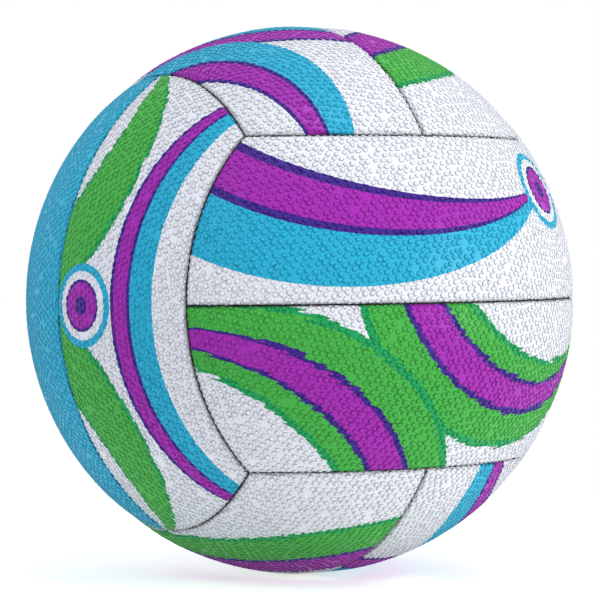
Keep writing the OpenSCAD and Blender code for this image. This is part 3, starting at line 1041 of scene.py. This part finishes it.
def studio_floor():
    """Seamless white paper: matt, with the ball's soft shadow near it. The camera sees it lifted
    to white, so that it has no horizon."""
    material, tree, output = new_material("white_paper_floor")
    where = add(tree, "ShaderNodeTexCoord").outputs["Object"]
    away = add(tree, "ShaderNodeVectorMath", {0: where}, operation="LENGTH").outputs["Value"]
    seen = seen_rays(tree)
    lift = add(tree, "ShaderNodeMath", {0: seen, 1: PAPER_LIFT - PAPER_GLOW, 2: PAPER_GLOW},
               operation="MULTIPLY_ADD").outputs[0]
    paper = add(tree, "ShaderNodeBsdfDiffuse", {"Color": rgba(linear("#F2F2F2"))}).outputs["BSDF"]
    raised = add(tree, "ShaderNodeEmission", {"Color": (1, 1, 1, 1), "Strength": lift}).outputs["Emission"]
    near = add(tree, "ShaderNodeAddShader", {0: paper, 1: raised}).outputs["Shader"]
    far = add(tree, "ShaderNodeMapRange", {
        "Value": away, "From Min": 0.1, "From Max": 0.4, "To Min": 0, "To Max": 1},
        interpolation_type="SMOOTHSTEP").outputs["Result"]
    factor = add(tree, "ShaderNodeMath", {0: far, 1: seen}, operation="MULTIPLY").outputs[0]
    white = add(tree, "ShaderNodeEmission", {"Color": (1, 1, 1, 1), "Strength": 1}).outputs["Emission"]
    mix = add(tree, "ShaderNodeMixShader", {0: factor, 1: near, 2: white})
    tree.links.new(mix.outputs["Shader"], output.inputs["Surface"])
    return material


def add_camera(studio, axes):
    """Adds the camera, which looks at the ball's centre."""
    place = axes[2] * studio.distance
    bpy.ops.object.camera_add(location=place)
    camera = bpy.context.active_object
    camera.matrix_world = Matrix.Translation(place) @ Matrix(axes).transposed().to_4x4()
    camera.data.lens = studio.lens
    camera.data.sensor_width = SENSOR_W_MM
    bpy.context.scene.camera = camera


def add_floor():
    """Lays the paper floor under the ball."""
    bpy.ops.mesh.primitive_plane_add(size=FLOOR_L, location=(0, 0, cad_box[0][2]))
    floor = bpy.context.active_object
    floor.name = "floor"
    floor.data.materials.append(studio_floor())


def add_surroundings(strength):
    """White surroundings, which light the ball with a soft, cool light and look plain white."""
    world = bpy.data.worlds.new("white_surroundings")
    bpy.context.scene.world = world
    world.use_nodes = True
    tree = world.node_tree
    tree.nodes.clear()
    light = add(tree, "ShaderNodeBackground", {"Color": rgba(linear(COOL_WHITE)), "Strength": strength})
    white = add(tree, "ShaderNodeBackground", {"Color": (1, 1, 1, 1), "Strength": 1})
    both = add(tree, "ShaderNodeMixShader", {
        0: seen_rays(tree), 1: light.outputs["Background"], 2: white.outputs["Background"]})
    output = add(tree, "ShaderNodeOutputWorld")
    tree.links.new(both.outputs["Shader"], output.inputs["Surface"])


class NETBALL_OT_studio(bpy.types.Operator):
    """Add the floor, the lamps and the camera"""

    bl_idname = "netball.studio"
    bl_label = "Studio"
    bl_options = {"REGISTER", "UNDO"}

    def execute(self, context):
        studio = context.scene.netball_studio
        axes = camera_axes(studio.azimuth, studio.elevation, studio.roll)
        add_camera(studio, axes)
        add_lamp("key_lamp", axes, (1.4, 0.2, 0.6), 0.25, studio.key_power)
        add_lamp("top_lamp", axes, (0.1, 1.4, 0.5), 0.4, studio.top_power)
        add_lamp("fill_lamp", axes, (-0.9, 0.9, 0.8), 0.4, studio.fill_power, COOL_WHITE)
        add_floor()
        add_surroundings(studio.ambient)
        context.scene.view_settings.view_transform = "Standard"
        return {"FINISHED"}


class NETBALL_PT_sidebar(bpy.types.Panel):
    """Lists the steps that dress the netball"""

    bl_label = "Netball"
    bl_idname = "NETBALL_PT_sidebar"
    bl_space_type = "VIEW_3D"
    bl_region_type = "UI"
    bl_category = "Netball"

    def draw(self, context):
        for step in STEPS:
            self.layout.operator(step.bl_idname)
        for name in GROUPS:
            group = getattr(context.scene, name)
            box = self.layout.box()
            for key in group.bl_rna.properties.keys():
                if key not in ("rna_type", "name"):
                    box.prop(group, key)


STEPS = (NETBALL_OT_cover, NETBALL_OT_linings, NETBALL_OT_stitching, NETBALL_OT_bladder, NETBALL_OT_studio)
GROUPS = {
    "netball_cover": NetballCover, "netball_colours": NetballColours, "netball_studio": NetballStudio,
}


def register():
    """Registers the classes and the scene's settings."""
    for kind in (*GROUPS.values(), *STEPS, NETBALL_PT_sidebar):
        bpy.utils.register_class(kind)
    for name, kind in GROUPS.items():
        setattr(bpy.types.Scene, name, PointerProperty(type=kind))


def unregister():
    """Takes them out again."""
    for name in GROUPS:
        delattr(bpy.types.Scene, name)
    for kind in (NETBALL_PT_sidebar, *reversed(STEPS), *GROUPS.values()):
        bpy.utils.unregister_class(kind)


def main():
    """Dresses the ball."""
    register()
    bpy.ops.netball.cover()
    bpy.ops.netball.linings()
    bpy.ops.netball.stitching()
    bpy.ops.netball.bladder()
    bpy.ops.netball.studio()


if __name__ == "__main__":
    main()
